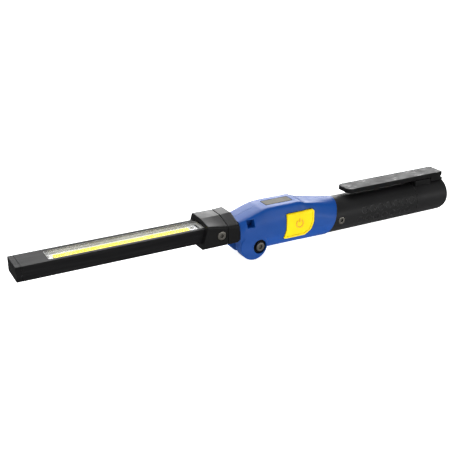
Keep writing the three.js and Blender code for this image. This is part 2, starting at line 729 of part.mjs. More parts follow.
const hinge = group(
  piece('pivot_screw', pivotScrew(), MATERIAL.steel()),
  piece('pivot_nut', pivotNut(), MATERIAL.darkSteel()),
  piece('pivot_washer', pivotWasher(), MATERIAL.darkSteel()),
  piece('friction_washer_near', frictionWasher(-1), MATERIAL.brass()),
  piece('friction_washer_far', frictionWasher(1), MATERIAL.brass()),
);

const leds = [0, 1, 2, 3].map((index) =>
  piece(`indicator_led_${index + 1}`, indicatorLed(index), MATERIAL.board()));

const housing = group(
  piece('housing_near', housingShell(-1), MATERIAL.blue()),
  piece('housing_far', housingShell(1), MATERIAL.blue()),
  piece('top_window', topWindow(), MATERIAL.smoked()),
  piece('indicator_board', indicatorBoard(), MATERIAL.circuit()),
  ...leds,
  piece('power_button', powerButton(), MATERIAL.yellow()),
  piece('switch_body', switchBody(), MATERIAL.darkSteel()),
  piece('main_board', mainBoard(), MATERIAL.circuit()),
  piece('charge_board', chargeBoard(), MATERIAL.circuit()),
  piece('charge_socket', chargeSocket(), MATERIAL.steel()),
);

const grip = group(
  piece('grip_sleeve', gripSleeve(), MATERIAL.gripRubber()),
  piece('grip_screw_near', gripScrew(-1), MATERIAL.steel()),
  piece('grip_screw_far', gripScrew(1), MATERIAL.steel()),
  piece('cell_carrier', cellCarrier(), MATERIAL.blackPlastic()),
  piece('battery_cell', batteryCell(), MATERIAL.cell()),
  piece('front_contact', frontContact(), MATERIAL.brass()),
  piece('battery_spring', batterySpring(), MATERIAL.steel()),
  piece('rear_cap', rearCap(), MATERIAL.blackPlastic()),
  piece('cap_seal', capSeal(), MATERIAL.seal()),
  piece('rear_magnet', rearMagnet(), MATERIAL.magnet()),
);

const clip = group(
  piece('clip_base', clipBase(), MATERIAL.blackPlastic()),
  piece('clip_arm', clipArm(), MATERIAL.blackPlastic()),
  piece('clip_pin', clipPin(), MATERIAL.steel()),
  piece('clip_spring', clipSpring(), MATERIAL.steel()),
);

const workLight = group(blade, arm, hinge, housing, grip, clip);
workLight.position.set(-(TIP_X + REAR_X) / 2, 0, NOSE.radius - NOSE.z);

export default workLight;
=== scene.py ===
"""Looks of the folding work light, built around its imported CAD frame.

Shapes are written in millimetres in the lamp's own frame: X runs along the lamp from the
fold axis, Y to the far side and Z up from the centre line of the grip. settle() scales each
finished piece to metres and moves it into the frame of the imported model.
"""

import json
import math

import bmesh
import bpy
from mathutils import Matrix, Vector


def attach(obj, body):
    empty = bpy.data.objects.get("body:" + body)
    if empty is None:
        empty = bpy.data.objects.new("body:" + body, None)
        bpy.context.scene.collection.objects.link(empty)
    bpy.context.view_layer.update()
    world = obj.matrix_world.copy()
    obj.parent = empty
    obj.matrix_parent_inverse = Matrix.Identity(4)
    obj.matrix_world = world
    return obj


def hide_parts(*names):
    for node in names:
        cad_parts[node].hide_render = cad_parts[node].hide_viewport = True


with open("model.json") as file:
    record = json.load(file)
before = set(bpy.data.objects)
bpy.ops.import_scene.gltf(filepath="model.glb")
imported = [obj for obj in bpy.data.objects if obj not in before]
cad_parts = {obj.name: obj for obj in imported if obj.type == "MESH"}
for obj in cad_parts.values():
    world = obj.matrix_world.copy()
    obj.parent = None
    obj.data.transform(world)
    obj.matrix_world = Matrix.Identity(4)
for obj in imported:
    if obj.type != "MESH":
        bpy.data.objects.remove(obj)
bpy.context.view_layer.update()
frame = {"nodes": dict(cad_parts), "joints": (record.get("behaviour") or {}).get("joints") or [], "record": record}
SCENE = bpy.context.scene

# ---- Places and sizes, in millimetres -------------------------------------------------

MM = 0.001
CLEAR = 0.3  # gap between neighbouring pieces
PIVOT_Z = -7.7  # height of the fold axis, which is at X = 0
FOLD_AXIS = next(joint["pos_m"] for joint in frame["joints"] if joint["name"] == "blade_fold")
ORIGIN = Vector(FOLD_AXIS) - Vector((0, 0, PIVOT_Z * MM))

BLADE = {"tip": -177.7, "join": -174, "root": -35.2, "half": 10.65, "low": 3.1, "high": 13.7}
WINDOW = {"start": -155, "end": -42, "half": 7.2}
STRIP = {"start": -150, "end": -51, "half": 2.8}
BOARD = {"start": -165.5, "end": -44, "half": 8.1, "low": 9, "high": 10.6}
SWIVEL_Z = 8.4  # height of the axis that the blade turns about
COLLAR = {"front": -44.6, "rear": -26.6, "half": 13.9, "height": 9.3, "lean": 0.28}
NECK = {"front": -26.2, "rear": -16.6, "half": 13.5, "height": 9.3, "rise": 0.7}
SPIGOT = {"end": -34.4, "radius": 6.5, "groove": -31.5, "groove_half": 2.2, "groove_radius": 5.7}
COLLAR_SCREW = (SPIGOT["groove"], 7)  # X and Z of the screw that runs in the spigot's groove
KNUCKLE = 8.2  # radius of the arm's round end
TONGUE_HALF = 4.5  # half width of the arm's tongue
EAR_INNER = 5.5  # inner face of each ear of the hinge
SWEEP = 17.9  # radius that the neck needs as it folds
NOSE = {"x": -4.6, "z": -6.2, "radius": 11.2}
HOUSING = {"front": -15.8, "rear": 73, "wall": 2.2, "cavity": 19.1}
SEAM = {"x": 66.3, "lean": 0.36, "gap": 0.4}
SIDE = 14  # half width of the housing's flat sides
TOP_WINDOW = {"start": 10, "end": 33.5, "half": 4.7, "top": 20.1}
RECESS = {"left": -10.3, "right": -4.2, "low": 8.3, "high": 16, "pocket_high": 14}
INLET = {"left": 40.4, "right": 49.6, "half": 1.7}
BUTTON = {"left": 20.3, "right": 46.7, "low": -5.7, "high": 13.3, "proud": 14.6}
GRIP = {"end": 148, "radius": 14, "bore": 11.2, "spigot": 12}
GRIP_SCREW = (73.2, -1.2)
REAR = 181.4  # rear end of the lamp
CLIP = {"tip": 82.5, "base": 150, "tail": 178, "half": 7.8, "low": 16.9, "high": 20.5, "skirt": 1.3}
CLIP_PIN = {"x": 164, "z": 15.5, "radius": 0.7}


# ---- Camera, light and floor ------------------------------------------------------------

CAMERA = {"place": (-0.27941, -0.47424, 0.24812), "toward": (0.4397, 0.8129, -0.382), "lens": 63.69}


def add_camera():
    data = bpy.data.cameras.new("camera")
    data.lens = CAMERA["lens"]
    data.sensor_width = 36
    data.clip_start = 0.01
    camera = bpy.data.objects.new("camera", data)
    camera.location = CAMERA["place"]
    camera.rotation_euler = Vector(CAMERA["toward"]).to_track_quat("-Z", "Y").to_euler()
    SCENE.collection.objects.link(camera)
    SCENE.camera = camera


def add_softbox(name, place, target, size, power):
    data = bpy.data.lights.new(name, "AREA")
    data.shape = "RECTANGLE"
    data.size, data.size_y = size
    data.energy = power
    light = bpy.data.objects.new(name, data)
    light.location = place
    light.rotation_euler = (Vector(target) - Vector(place)).to_track_quat("-Z", "Y").to_euler()
    SCENE.collection.objects.link(light)


def add_lights():
    world = bpy.data.worlds.new("studio")
    world.use_nodes = True
    world.node_tree.nodes["Background"].inputs["Color"].default_value = (1, 1, 1, 1)
    world.node_tree.nodes["Background"].inputs["Strength"].default_value = 0.18
    SCENE.world = world
    centre = (0, 0, 0.02)
    add_softbox("overhead", (-0.05, 0.25, 0.9), centre, (0.9, 0.6), 8)
    add_softbox("key", (-0.7, -0.5, 0.7), centre, (0.5, 0.5), 2.5)
    add_softbox("backlight", (0.45, 1.1, 0.52), centre, (1.5, 0.6), 16)
    add_softbox("low_strip", (0.55, -0.9, 0.12), centre, (1.4, 0.16), 2.6)


# ---- Making meshes -----------------------------------------------------------------------


def new_piece(name, mesh_maker):
    """Object from a bmesh, with its faces turned outwards."""
    bmesh.ops.recalc_face_normals(mesh_maker, faces=mesh_maker.faces)
    mesh = bpy.data.meshes.new(name)
    mesh_maker.to_mesh(mesh)
    mesh_maker.free()
    piece = bpy.data.objects.new(name, mesh)
    SCENE.collection.objects.link(piece)
    return piece


def loft(name, rings):
    """Closed solid through rings of equal length."""
    maker = bmesh.new()
    loops = [[maker.verts.new(point) for point in ring] for ring in rings]
    count = len(rings[0])
    for lower, upper in zip(loops, loops[1:]):
        for i in range(count):
            j = (i + 1) % count
            maker.faces.new((lower[i], lower[j], upper[j], upper[i]))
    maker.faces.new(loops[0])
    maker.faces.new(loops[-1])
    return new_piece(name, maker)


def arc(centre, radius, start, end, steps):
    """Points on an arc between two angles in degrees."""
    angles = [math.radians(start + (end - start) * i / steps) for i in range(steps + 1)]
    return [(centre[0] + radius * math.cos(a), centre[1] + radius * math.sin(a)) for a in angles]


def circle(radius, centre=(0, 0), sides=72):
    return arc(centre, radius, 0, 360 - 360 / sides, sides - 1)


def filleted(corners, radius, steps=5):
    """Outline with each corner rounded; a corner may bring its own radius as a third number."""
    points = []
    count = len(corners)
    for i, corner in enumerate(corners):
        here = Vector(corner[:2])
        before = Vector(corners[i - 1][:2]) - here
        after = Vector(corners[(i + 1) % count][:2]) - here
        wanted = corner[2] if len(corner) > 2 else radius
        half_angle = before.angle(after) / 2
        reach = min(wanted / math.tan(half_angle), before.length * 0.49, after.length * 0.49)
        start = here + before.normalized() * reach
        end = here + after.normalized() * reach
        for step in range(steps + 1):
            t = step / steps
            points.append(tuple(start * (1 - t) ** 2 + here * 2 * t * (1 - t) + end * t * t))
    return points


def rectangle(a0, a1, b0, b1):
    return [(a0, b0), (a1, b0), (a1, b1), (a0, b1)]


def inset(points, distance):
    """Outline moved inwards, or outwards for a negative distance, by mitred corners."""
    area = sum(a[0] * b[1] - b[0] * a[1] for a, b in zip(points, points[1:] + points[:1]))
    turn = 1 if area > 0 else -1
    moved = []
    for i, point in enumerate(points):
        here = Vector(point)
        before = (here - Vector(points[i - 1])).normalized()
        after = (Vector(points[(i + 1) % len(points)]) - here).normalized()
        along = before + after
        normal = Vector((-along.y, along.x)).normalized() * turn
        side = Vector((-before.y, before.x)) * turn
        moved.append(tuple(here + normal * distance / max(normal.dot(side), 0.3)))
    return moved


AXES = {
    "x": lambda a, b, t: (t, a, b),
    "y": lambda a, b, t: (a, t, b),
    "z": lambda a, b, t: (a, b, t),
}


def prism(name, points, axis, span, rounding=0.0, steps=4):
    """Outline run along an axis, with its two end edges rounded."""
    start, end = span
    levels = [(start, 0), (end, 0)]
    if rounding:
        quarter = [math.pi / 2 * step / steps for step in range(steps + 1)]
        curve = [(rounding * (1 - math.cos(q)), rounding * (1 - math.sin(q))) for q in quarter]
        levels = [(start + depth, pull) for depth, pull in curve]
        levels += [(end - depth, pull) for depth, pull in reversed(curve)]
    rings = []
    for at, pull in levels:
        outline = inset(points, pull) if pull > 1e-6 else points
        rings.append([AXES[axis](a, b, at) for a, b in outline])
    return loft(name, rings)


def flared(name, points, axis, span, flare):
    """Cutter that opens out at its second end, so that the hole it leaves has a bevel."""
    start, end = span
    toward = 1 if end > start else -1
    wide = inset(points, -flare * 3)
    edge = end - toward * flare
    rings = [(start, points), (edge, points), (end + toward * 2 * flare, wide)]
    return loft(name, [[AXES[axis](a, b, at) for a, b in outline] for at, outline in rings])


def turned(name, profile, axis="x", centre=(0, 0), sides=96):
    """Solid of revolution from (place along the axis, radius) points."""
    rings = []
    for at, radius in profile:
        ring = circle(max(radius, 1e-3), centre, sides)
        rings.append([AXES[axis](a, b, at) for a, b in ring])
    return loft(name, rings)


def joined(name, pieces):
    """One object out of several that don't touch."""
    maker = bmesh.new()
    for piece in pieces:
        maker.from_mesh(piece.data)
        bpy.data.objects.remove(piece)
    return new_piece(name, maker)


def combine(body, tools, operation="DIFFERENCE"):
    """Cuts tools from a body, adds them, or keeps what they share; the tools are used up."""
    for tool in tools:
        modifier = body.modifiers.new("combine", "BOOLEAN")
        modifier.operation = operation
        modifier.solver = "MANIFOLD"
        modifier.object = tool
        evaluated = body.evaluated_get(bpy.context.evaluated_depsgraph_get())
        mesh = bpy.data.meshes.new_from_object(evaluated)
        body.modifiers.clear()
        body.data = mesh
        bpy.data.objects.remove(tool)
    return body


def tidy(piece, angle=32):
    """Dissolves leftover slivers, and shades smooth except across real edges."""
    maker = bmesh.new()
    maker.from_mesh(piece.data)
    bmesh.ops.remove_doubles(maker, verts=maker.verts, dist=0.002)
    bmesh.ops.dissolve_degenerate(maker, dist=0.002, edges=maker.edges)
    maker.to_mesh(piece.data)
    maker.free()
    piece.data.polygons.foreach_set("use_smooth", [True] * len(piece.data.polygons))
    piece.data.set_sharp_from_angle(angle=math.radians(angle))
    weighted = piece.modifiers.new("shading", "WEIGHTED_NORMAL")
    weighted.keep_sharp = True
    return piece


def settle(piece, body, stands_for, slot, finish=None):
    """Puts a finished piece into the frame, on its body; finish overrides the slot's material."""
    tidy(piece)
    piece.data.transform(Matrix.Translation(ORIGIN) @ Matrix.Diagonal((MM, MM, MM, 1)))
    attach(piece, body)
    if stands_for:
        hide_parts(stands_for)
    piece.data.materials.clear()
    piece.data.materials.append(MATERIALS[finish or slot])
    return piece


# ---- Procedural materials ------------------------------------------------------------------


class Graph:
    """Short calls for wiring one material's nodes."""

    def __init__(self, name):
        self.material = bpy.data.materials.new(name)
        self.material.use_nodes = True
        self.nodes = self.material.node_tree.nodes
        self.shader = self.nodes["Principled BSDF"]
        self.place = self.add("ShaderNodeTexCoord").outputs["Object"]

    def add(self, kind, **settings):
        node = self.nodes.new(kind)
        for key, value in settings.items():
            setattr(node, key, value)
        return node

    def link(self, source, target):
        self.material.node_tree.links.new(source, target)

    def set(self, **values):
        for key, value in values.items():
            self.shader.inputs[key.replace("_", " ")].default_value = value

    def noise(self, scale, detail=3.0, stretch=(1, 1, 1)):
        mapping = self.add("ShaderNodeMapping")
        mapping.inputs["Scale"].default_value = stretch
        self.link(self.place, mapping.inputs["Vector"])
        node = self.add("ShaderNodeTexNoise")
        node.inputs["Scale"].default_value = scale
        node.inputs["Detail"].default_value = detail
        self.link(mapping.outputs["Vector"], node.inputs["Vector"])
        return node.outputs["Fac"]

    def cells(self, scale):
        node = self.add("ShaderNodeTexVoronoi")
        node.inputs["Scale"].default_value = scale
        self.link(self.place, node.inputs["Vector"])
        return node.outputs["Distance"]

    def spread(self, value, low, high, out_low=0.0, out_high=1.0):
        node = self.add("ShaderNodeMapRange")
        limits = {"From Min": low, "From Max": high, "To Min": out_low, "To Max": out_high}
        for key, number in limits.items():
            node.inputs[key].default_value = number
        self.link(value, node.inputs["Value"])
        return node.outputs["Result"]

    def product(self, a, b):
        node = self.add("ShaderNodeMath", operation="MULTIPLY")
        self.link(a, node.inputs[0])
        self.link(b, node.inputs[1])
        return node.outputs[0]

    def blend(self, factor, first, second):
        """Colour mix; first and second are colours or sockets."""
        node = self.add("ShaderNodeMix", data_type="RGBA")
        self.link(factor, node.inputs["Factor"])
        for socket, colour in ((node.inputs[6], first), (node.inputs[7], second)):
            if isinstance(colour, tuple):
                socket.default_value = (*colour, 1)
            else:
                self.link(colour, socket)
        return node.outputs[2]

    def rounded_normal(self, radius):
        node = self.add("ShaderNodeBevel", samples=4)
        node.inputs["Radius"].default_value = radius
        return node.outputs["Normal"]

    def edges(self, radius):
        """One along convex and concave edges, zero on open faces."""
        rounded = self.rounded_normal(radius)
        dot = self.add("ShaderNodeVectorMath", operation="DOT_PRODUCT")
        self.link(rounded, dot.inputs[0])
        self.link(self.add("ShaderNodeNewGeometry").outputs["Normal"], dot.inputs[1])
        return self.spread(dot.outputs["Value"], 0.995, 0.86)

    def painted_shade_mask(self, reach):
        """Mask for painted shade: one deep inside recesses and joints, zero on open faces."""
        node = self.add("ShaderNodeAmbientOcclusion", samples=8)
        node.inputs["Distance"].default_value = reach
        return self.spread(node.outputs["AO"], 0.75, 0.35)

    def facing_up(self):
        split = self.add("ShaderNodeSeparateXYZ")
        self.link(self.add("ShaderNodeNewGeometry").outputs["Normal"], split.inputs[0])
        return self.spread(split.outputs["Z"], 0.6, 0.95)

    def bump(self, height, strength, distance, normal=None):
        node = self.add("ShaderNodeBump")
        node.inputs["Strength"].default_value = strength
        node.inputs["Distance"].default_value = distance
        self.link(height, node.inputs["Height"])
        if normal:
            self.link(normal, node.inputs["Normal"])
        return node.outputs["Normal"]


def shaded(colour, factor):
    return tuple(min(channel * factor, 1) for channel in colour)


def moulded(name, colour, worn, roughness, grain=2400, depth=0.00003, specular=0.4, wear=0.5):
    """Moulded plastic: fine spark-eroded grain, cloudy tone, edges rubbed by handling, and painted shade darkening
    recesses and joints.
    """
    g = Graph(name)
    clouds = g.noise(38, 4)
    fine = g.noise(grain, 2)
    tone = g.blend(g.spread(clouds, 0.3, 0.7), shaded(colour, 0.88), shaded(colour, 1.12))
    rubbed = g.product(g.edges(0.0007), g.spread(g.noise(420, 4), 0.38, 0.66, 0, wear))
    # Painted shade: recesses and joints are darkened towards a quarter of the colour.
    tone_with_painted_shade = g.blend(g.painted_shade_mask(0.0015), g.blend(rubbed, tone, worn), shaded(colour, 0.25))
    g.link(tone_with_painted_shade, g.shader.inputs["Base Color"])
    patchy = g.spread(g.noise(75, 5), 0.3, 0.7, roughness - 0.07, roughness + 0.09)
    g.link(patchy, g.shader.inputs["Roughness"])
    g.link(g.bump(fine, 0.5, depth, g.rounded_normal(0.00022)), g.shader.inputs["Normal"])
    g.set(Specular_IOR_Level=specular)
    return g.material


def metal(name, colour, roughness, stretch=(1, 1, 1), tarnish=0.7):
    """Bare or plated metal: fine brushing, drawn out along an axis by stretch, dark stain, and painted shade
    darkening its recesses.
    """
    g = Graph(name)
    lines = g.noise(900, 3, stretch)
    stain = g.spread(g.noise(260, 4), 0.4, 0.75)
    tone = g.blend(stain, colour, shaded(colour, tarnish))
    # Painted shade: recesses are darkened nearly to black.
    g.link(g.blend(g.painted_shade_mask(0.002), tone, shaded(colour, 0.04)), g.shader.inputs["Base Color"])
    g.link(g.spread(lines, 0.3, 0.7, roughness - 0.08, roughness + 0.12), g.shader.inputs["Roughness"])
    g.link(g.bump(lines, 0.35, 0.00002, g.rounded_normal(0.00018)), g.shader.inputs["Normal"])
    g.set(Metallic=1.0)
    return g.material


def anodised(name, colour, worn):
    """Black anodised extrusion: faint drawn lines along X and bright nicks on the edges."""
    g = Graph(name)
    drawn = g.noise(700, 4, (0.04, 1, 1))
    speck = g.noise(3200, 2)
    tone = g.blend(g.spread(drawn, 0.3, 0.7), shaded(colour, 0.8), shaded(colour, 1.3))
    nicks = g.product(g.edges(0.0006), g.spread(g.noise(520, 5), 0.5, 0.68, 0, 0.55))
    g.link(g.blend(nicks, tone, worn), g.shader.inputs["Base Color"])
    g.link(g.spread(drawn, 0.3, 0.7, 0.4, 0.52), g.shader.inputs["Roughness"])
    g.link(g.bump(speck, 0.4, 0.00002, g.rounded_normal(0.0002)), g.shader.inputs["Normal"])
    g.set(Specular_IOR_Level=0.06)
    return g.material


def phosphor(name):
    """Phosphor gel with small paler dots, where LED chips lie under it."""
    g = Graph(name)
    dots = g.spread(g.cells(620), 0.1, 0.5)
    cloudy = g.spread(g.noise(160, 3), 0.3, 0.7, 0.0, 0.8)
    pale, deep = (1.0, 0.86, 0.03), (0.98, 0.72, 0.004)
    colour = g.blend(g.product(dots, cloudy), pale, deep)
    g.link(colour, g.shader.inputs["Base Color"])
    g.link(colour, g.shader.inputs["Emission Color"])
    g.link(g.spread(cloudy, 0, 0.8, 0.4, 0.55), g.shader.inputs["Roughness"])
    g.link(g.bump(dots, 0.4, 0.0001), g.shader.inputs["Normal"])
    g.set(Emission_Strength=0.35, Specular_IOR_Level=0.02)
    return g.material


def clear_cover(name):
    """Thin clear cover with a little dust and haze."""
    g = Graph(name)
    dust = g.spread(g.noise(1500, 5), 0.55, 0.8)
    haze = g.spread(g.noise(60, 3), 0.3, 0.7, 0.03, 0.07)
    g.link(g.blend(dust, (0.92, 0.95, 1.0), (0.8, 0.8, 0.78)), g.shader.inputs["Base Color"])
    g.link(haze, g.shader.inputs["Alpha"])
    g.link(g.spread(dust, 0, 1, 0.06, 0.3), g.shader.inputs["Roughness"])
    return g.material


def scuffed_glinting_clip(name):
    """Black clip whose top is polished and scratched in streaks by being pushed on to things; the pale grey on its
    upward faces is also a painted highlight standing for glints.
    """
    g = Graph(name)
    # Painted highlight: pale grey stripes on upward faces stand for glints as well as scratches.
    streaks = g.spread(g.noise(900, 4, (0.12, 1, 1)), 0.52, 0.64)
    glint_patches = g.product(g.facing_up(), g.spread(g.noise(55, 3), 0.52, 0.64))
    edges = g.product(g.edges(0.0008), g.spread(g.noise(380, 4), 0.4, 0.6, 0, 0.8))
    tone = g.blend(g.spread(g.noise(120, 4), 0.3, 0.7), (0.006, 0.006, 0.0062), (0.011, 0.011, 0.0113))
    scuffed_with_glints = g.blend(g.product(streaks, glint_patches), tone, (0.5, 0.5, 0.5))
    g.link(g.blend(edges, scuffed_with_glints, (0.03, 0.03, 0.03)), g.shader.inputs["Base Color"])
    g.link(g.spread(g.noise(140, 5), 0.3, 0.7, 0.32, 0.46), g.shader.inputs["Roughness"])
    g.link(g.bump(g.noise(2400, 2), 0.5, 0.00003, g.rounded_normal(0.0003)), g.shader.inputs["Normal"])
    g.set(Specular_IOR_Level=0.07)
    return g.material


def circuit(name):
    """Green board with faint tracks and solder mask texture."""
    g = Graph(name)
    tracks = g.spread(g.cells(900), 0.2, 0.35)
    g.link(g.blend(tracks, (0.03, 0.14, 0.06), (0.012, 0.07, 0.03)), g.shader.inputs["Base Color"])
    g.link(g.spread(g.noise(500), 0.3, 0.7, 0.3, 0.5), g.shader.inputs["Roughness"])
    g.link(g.bump(tracks, 0.3, 0.00004), g.shader.inputs["Normal"])
    return g.material


BLUE = (0.003, 0.062, 0.3)
MATERIALS = {
    "blade_black": anodised("anodised_black", (0.0085, 0.0085, 0.009), (0.12, 0.12, 0.125)),
    "black_plastic": moulded(
        "black_plastic", (0.006, 0.006, 0.0063), (0.03, 0.03, 0.031), 0.4, specular=0.22
    ),
    "grip_black": moulded(
        "soft_grip", (0.014, 0.014, 0.0145), (0.1, 0.1, 0.102), 0.45,
        grain=1700, depth=0.00004, specular=0.2, wear=0.9,
    ),
    "clip_black": moulded(
        "clip_plastic", (0.008, 0.008, 0.0083), (0.03, 0.03, 0.03), 0.36, specular=0.14
    ),
    "blue_plastic": moulded(
        "blue_plastic", BLUE, (0.02, 0.14, 0.5), 0.36, grain=2600, specular=0.32, wear=0.6
    ),
    "yellow_button": moulded(
        "yellow_button", (0.96, 0.68, 0.003), (1.0, 0.82, 0.06), 0.42, specular=0.12, wear=0.7
    ),
    "led_phosphor": phosphor("led_phosphor"),
    "led_board": moulded(
        "solder_mask", (0.82, 0.83, 0.82), (0.6, 0.6, 0.58), 0.3, grain=900, wear=0.3, specular=0.5
    ),
    "clear_lens": clear_cover("clear_cover"),
    "smoked_window": moulded(
        "smoked_window", (0.06, 0.055, 0.036), (0.09, 0.085, 0.06), 0.3, depth=0.00001, specular=0.06
    ),
    "screw_steel": metal("screw_steel", (0.42, 0.4, 0.36), 0.34),
    "dark_steel": metal("dark_steel", (0.06, 0.06, 0.065), 0.36, tarnish=0.5),
    "magnet_steel": metal("magnet_steel", (0.55, 0.56, 0.57), 0.22, (1, 0.2, 1)),
    "washer_brass": metal("washer_brass", (0.6, 0.45, 0.17), 0.34),
    "window_wall": moulded("window_wall", (0.7, 0.7, 0.69), (0.7, 0.7, 0.7), 0.4, specular=0.2),
    # The clip's finish carries scratches and painted glints on its top.
    "clip_worn": scuffed_glinting_clip("clip_worn"),
    "circuit_board": circuit("circuit_board"),
    "cell_wrap": moulded("cell_wrap", (0.05, 0.2, 0.23), (0.12, 0.3, 0.33), 0.3),
    "seal_rubber": moulded("seal_rubber", (0.01, 0.01, 0.01), (0.03, 0.03, 0.03), 0.7),
}


def dress_cad_nodes():
    """Every CAD node gets its slot's procedural material; the fine pieces replace some later."""
    for part in frame["record"]["subparts"]:
        node = frame["nodes"][part["node"]]
        node.data.materials.clear()
        node.data.materials.append(MATERIALS[part["material_slot"]])


# ---- Blue housing ------------------------------------------------------------------------------

# x, top height, half width of the top face, shoulder height, half width of the sides, radius
# underneath, how far the section has become a plain circle, and how much the top is arched
STATIONS = [
    (-15.8, 13.3, 9.6, 6, 12.6, 13.6, 0, 0.04),
    (-12, 14.6, 10.2, 7, 14, 14, 0, 0.04),
    (-3, 17.5, 10.6, 9, 14, 14, 0, 0.04),
    (4, 19.5, 10.6, 10, 14, 14, 0, 0.04),
    (10, 20.1, 10.5, 10, 14, 14, 0, 0.04),
    (37, 20.1, 10.5, 10, 14, 14.1, 0, 0.04),
    (41, 18.3, 10.2, 9, 14, 14.2, 0, 0.06),
    (56, 16.6, 9.1, 5.5, 14.3, 14.4, 0.08, 0.32),
    (70, 14.8, 7.9, 2, 14.7, 14.8, 0.15, 0.57),
]
CRISPNESS = 26  # a higher power gives sharper edges between the flat faces
SOFTENING = (-1.0, -0.5, 0.0, 0.5, 1.0)  # the stations are averaged over this reach


def station_at(x):
    before = STATIONS[0]
    for after in STATIONS[1:]:
        if x <= after[0]:
            t = min(max((x - before[0]) / (after[0] - before[0]), 0), 1)
            return [a + (b - a) * t for a, b in zip(before, after)]
        before = after
    return list(STATIONS[-1])


def soft_station(x):
    samples = [station_at(x + shift) for shift in SOFTENING]
    return [sum(values) / len(samples) for values in zip(*samples)]


def housing_reach(station, angle, inward=0.0):
    """Distance from the centre line to the skin, from the flat faces that bound the section."""
    top, flat, shoulder, side, belly, rounding, crown = station[1:]
    slope = math.atan2(side - flat, top - shoulder)
    slant = side * math.cos(slope) + shoulder * math.sin(slope)
    c = max(abs(math.cos(angle)), 0.001)
    s = math.sin(angle)
    faces = [
        max(s, 0) / ((top - inward) * (1 - crown * c * c)),
        max(c * math.cos(slope) + s * math.sin(slope), 0) / (slant - inward),
        c / (side - inward),
    ]
    faceted = sum(face**CRISPNESS for face in faces) ** (-1 / CRISPNESS)
    if s < 0:
        faceted = min(faceted, belly - inward)
    return faceted + (belly - inward - faceted) * rounding


def housing_loft(name, x0, x1, steps, sides, inward=0.0):
    rings = []
    for step in range(steps + 1):
        x = x0 + (x1 - x0) * step / steps
        station = soft_station(x)
        ring = []
        for i in range(sides):
            angle = 2 * math.pi * i / sides
            length = housing_reach(station, angle, inward)
            ring.append((x, length * math.cos(angle), length * math.sin(angle)))
        rings.append(ring)
    return loft(name, rings)


def housing_body():
    skin = housing_loft("skin", HOUSING["front"], HOUSING["rear"], 150, 320)
    low = NOSE["z"] - NOSE["radius"]
    profile = [(90, 40), (HOUSING["front"] - 0.1, 40)]
    profile += arc((NOSE["x"], NOSE["z"]), NOSE["radius"], 180, 270, 40) + [(90, low)]
    trimmed = combine(skin, [prism("profile", profile, "y", (-20, 20))], "INTERSECT")
    disc = circle(NOSE["radius"], (NOSE["x"], NOSE["z"]), 120)
    return combine(trimmed, [prism("nose", disc, "y", (-SIDE, SIDE), 1.2, 6)], "UNION")


def hinge_slot():
    """Room for the tongue, from straight to folded flat underneath."""
    y = (-EAR_INNER, EAR_INNER)
    sweep = [(SWEEP, PIVOT_Z - 0.37)] + arc((0, PIVOT_Z), SWEEP, -2, -178, 60)
    pocket = circle(KNUCKLE + 3, (0, PIVOT_Z), 80)
    front, rear, roof, low = HOUSING["front"], 5.6, 11.6, PIVOT_Z - 1
    mouth = [(-30, roof), (front, roof), (rear, 1), (rear, low), (-30, low)]
    return [prism("slot", outline, "y", y) for outline in (sweep, pocket, mouth)]


def button_outline(pull=0.0):
    """Square with a foot swept forward and the rear lower corner cut back in a curve."""
    left, right, low, high = (BUTTON[key] for key in ("left", "right", "low", "high"))
    corners = [
        (left, low),
        (left + 2.4, 1.5),
        (left + 2.4, high),
        (right, high),
        (right, 3.2),
        (right - 2.2, low + 3.5),
        (right - 8, low),
    ]
    radii = (1.2, 3, 0.7, 1.8, 5, 6, 3)
    pulled = inset(corners, pull)
    return filleted([(*corner, max(r - pull, 0.3)) for corner, r in zip(pulled, radii)], 1, 6)


def socket_outline(grow=0.0):
    half = INLET["half"] + grow
    return filleted(rectangle(INLET["left"] - grow, INLET["right"] + grow, -half, half), 1.6, 6)


def seam_prism(name, direction, shift):
    """Everything ahead of the leaning seam, or behind it."""
    near = SEAM["x"] + shift
    lean = SEAM["lean"] * 40
    far = SEAM["x"] + direction * 120
    corners = [(near - lean, -40), (near + lean, 40), (far, 40), (far, -40)]
    return prism(name, corners, "y", (-30, 30))


def snap_recess(side):
    """Square opening in the side, with a deeper pocket behind its lower part."""
    left, right, low = RECESS["left"], RECESS["right"], RECESS["low"]
    mouth = filleted(rectangle(left, right, low, RECESS["high"]), 0.5)
    pocket = filleted(rectangle(left, right, low, RECESS["pocket_high"]), 0.5)
    return [
        flared("mouth", mouth, "y", (side * 11.4, side * SIDE), 0.2),
        prism("pocket", pocket, "y", sorted((side * 6.8, side * 12))),
    ]


def housing_shells():
    body = housing_body()
    holes = [housing_loft("cavity", HOUSING["cavity"], HOUSING["rear"] + 1, 50, 160, HOUSING["wall"])]
    holes += hinge_slot()
    for side in (-1, 1):
        seat = circle(5.4, (0, PIVOT_Z))
        holes.append(flared("seat", seat, "y", (side * 11.3, side * SIDE), 0.3))
        holes += snap_recess(side)
    holes.append(prism("pivot_bore", circle(2.4, (0, PIVOT_Z), 48), "y", (-20, 20)))
    half = TOP_WINDOW["half"]
    window = filleted(rectangle(TOP_WINDOW["start"], TOP_WINDOW["end"], -half, half), 0.9)
    holes.append(flared("window", window, "z", (15.4, 20.0), 0.2))
    holes.append(flared("button", button_outline(-0.4), "y", (-5, -SIDE), 0.25))
    holes.append(flared("inlet", socket_outline(CLEAR), "y", (5, SIDE), 0.25))
    holes.append(seam_prism("seam", 1, 0))
    body = combine(body, holes)
    other = body.copy()
    other.data = body.data.copy()
    SCENE.collection.objects.link(other)
    for which, shell, span in (("near", body, (-30, -0.06)), ("far", other, (0.06, 30))):
        shell.name = f"shell_{which}"
        combine(shell, [prism("half", rectangle(-60, 120, -60, 60), "y", span)], "INTERSECT")
        settle(shell, "handle", f"housing_{which}", "blue_plastic")


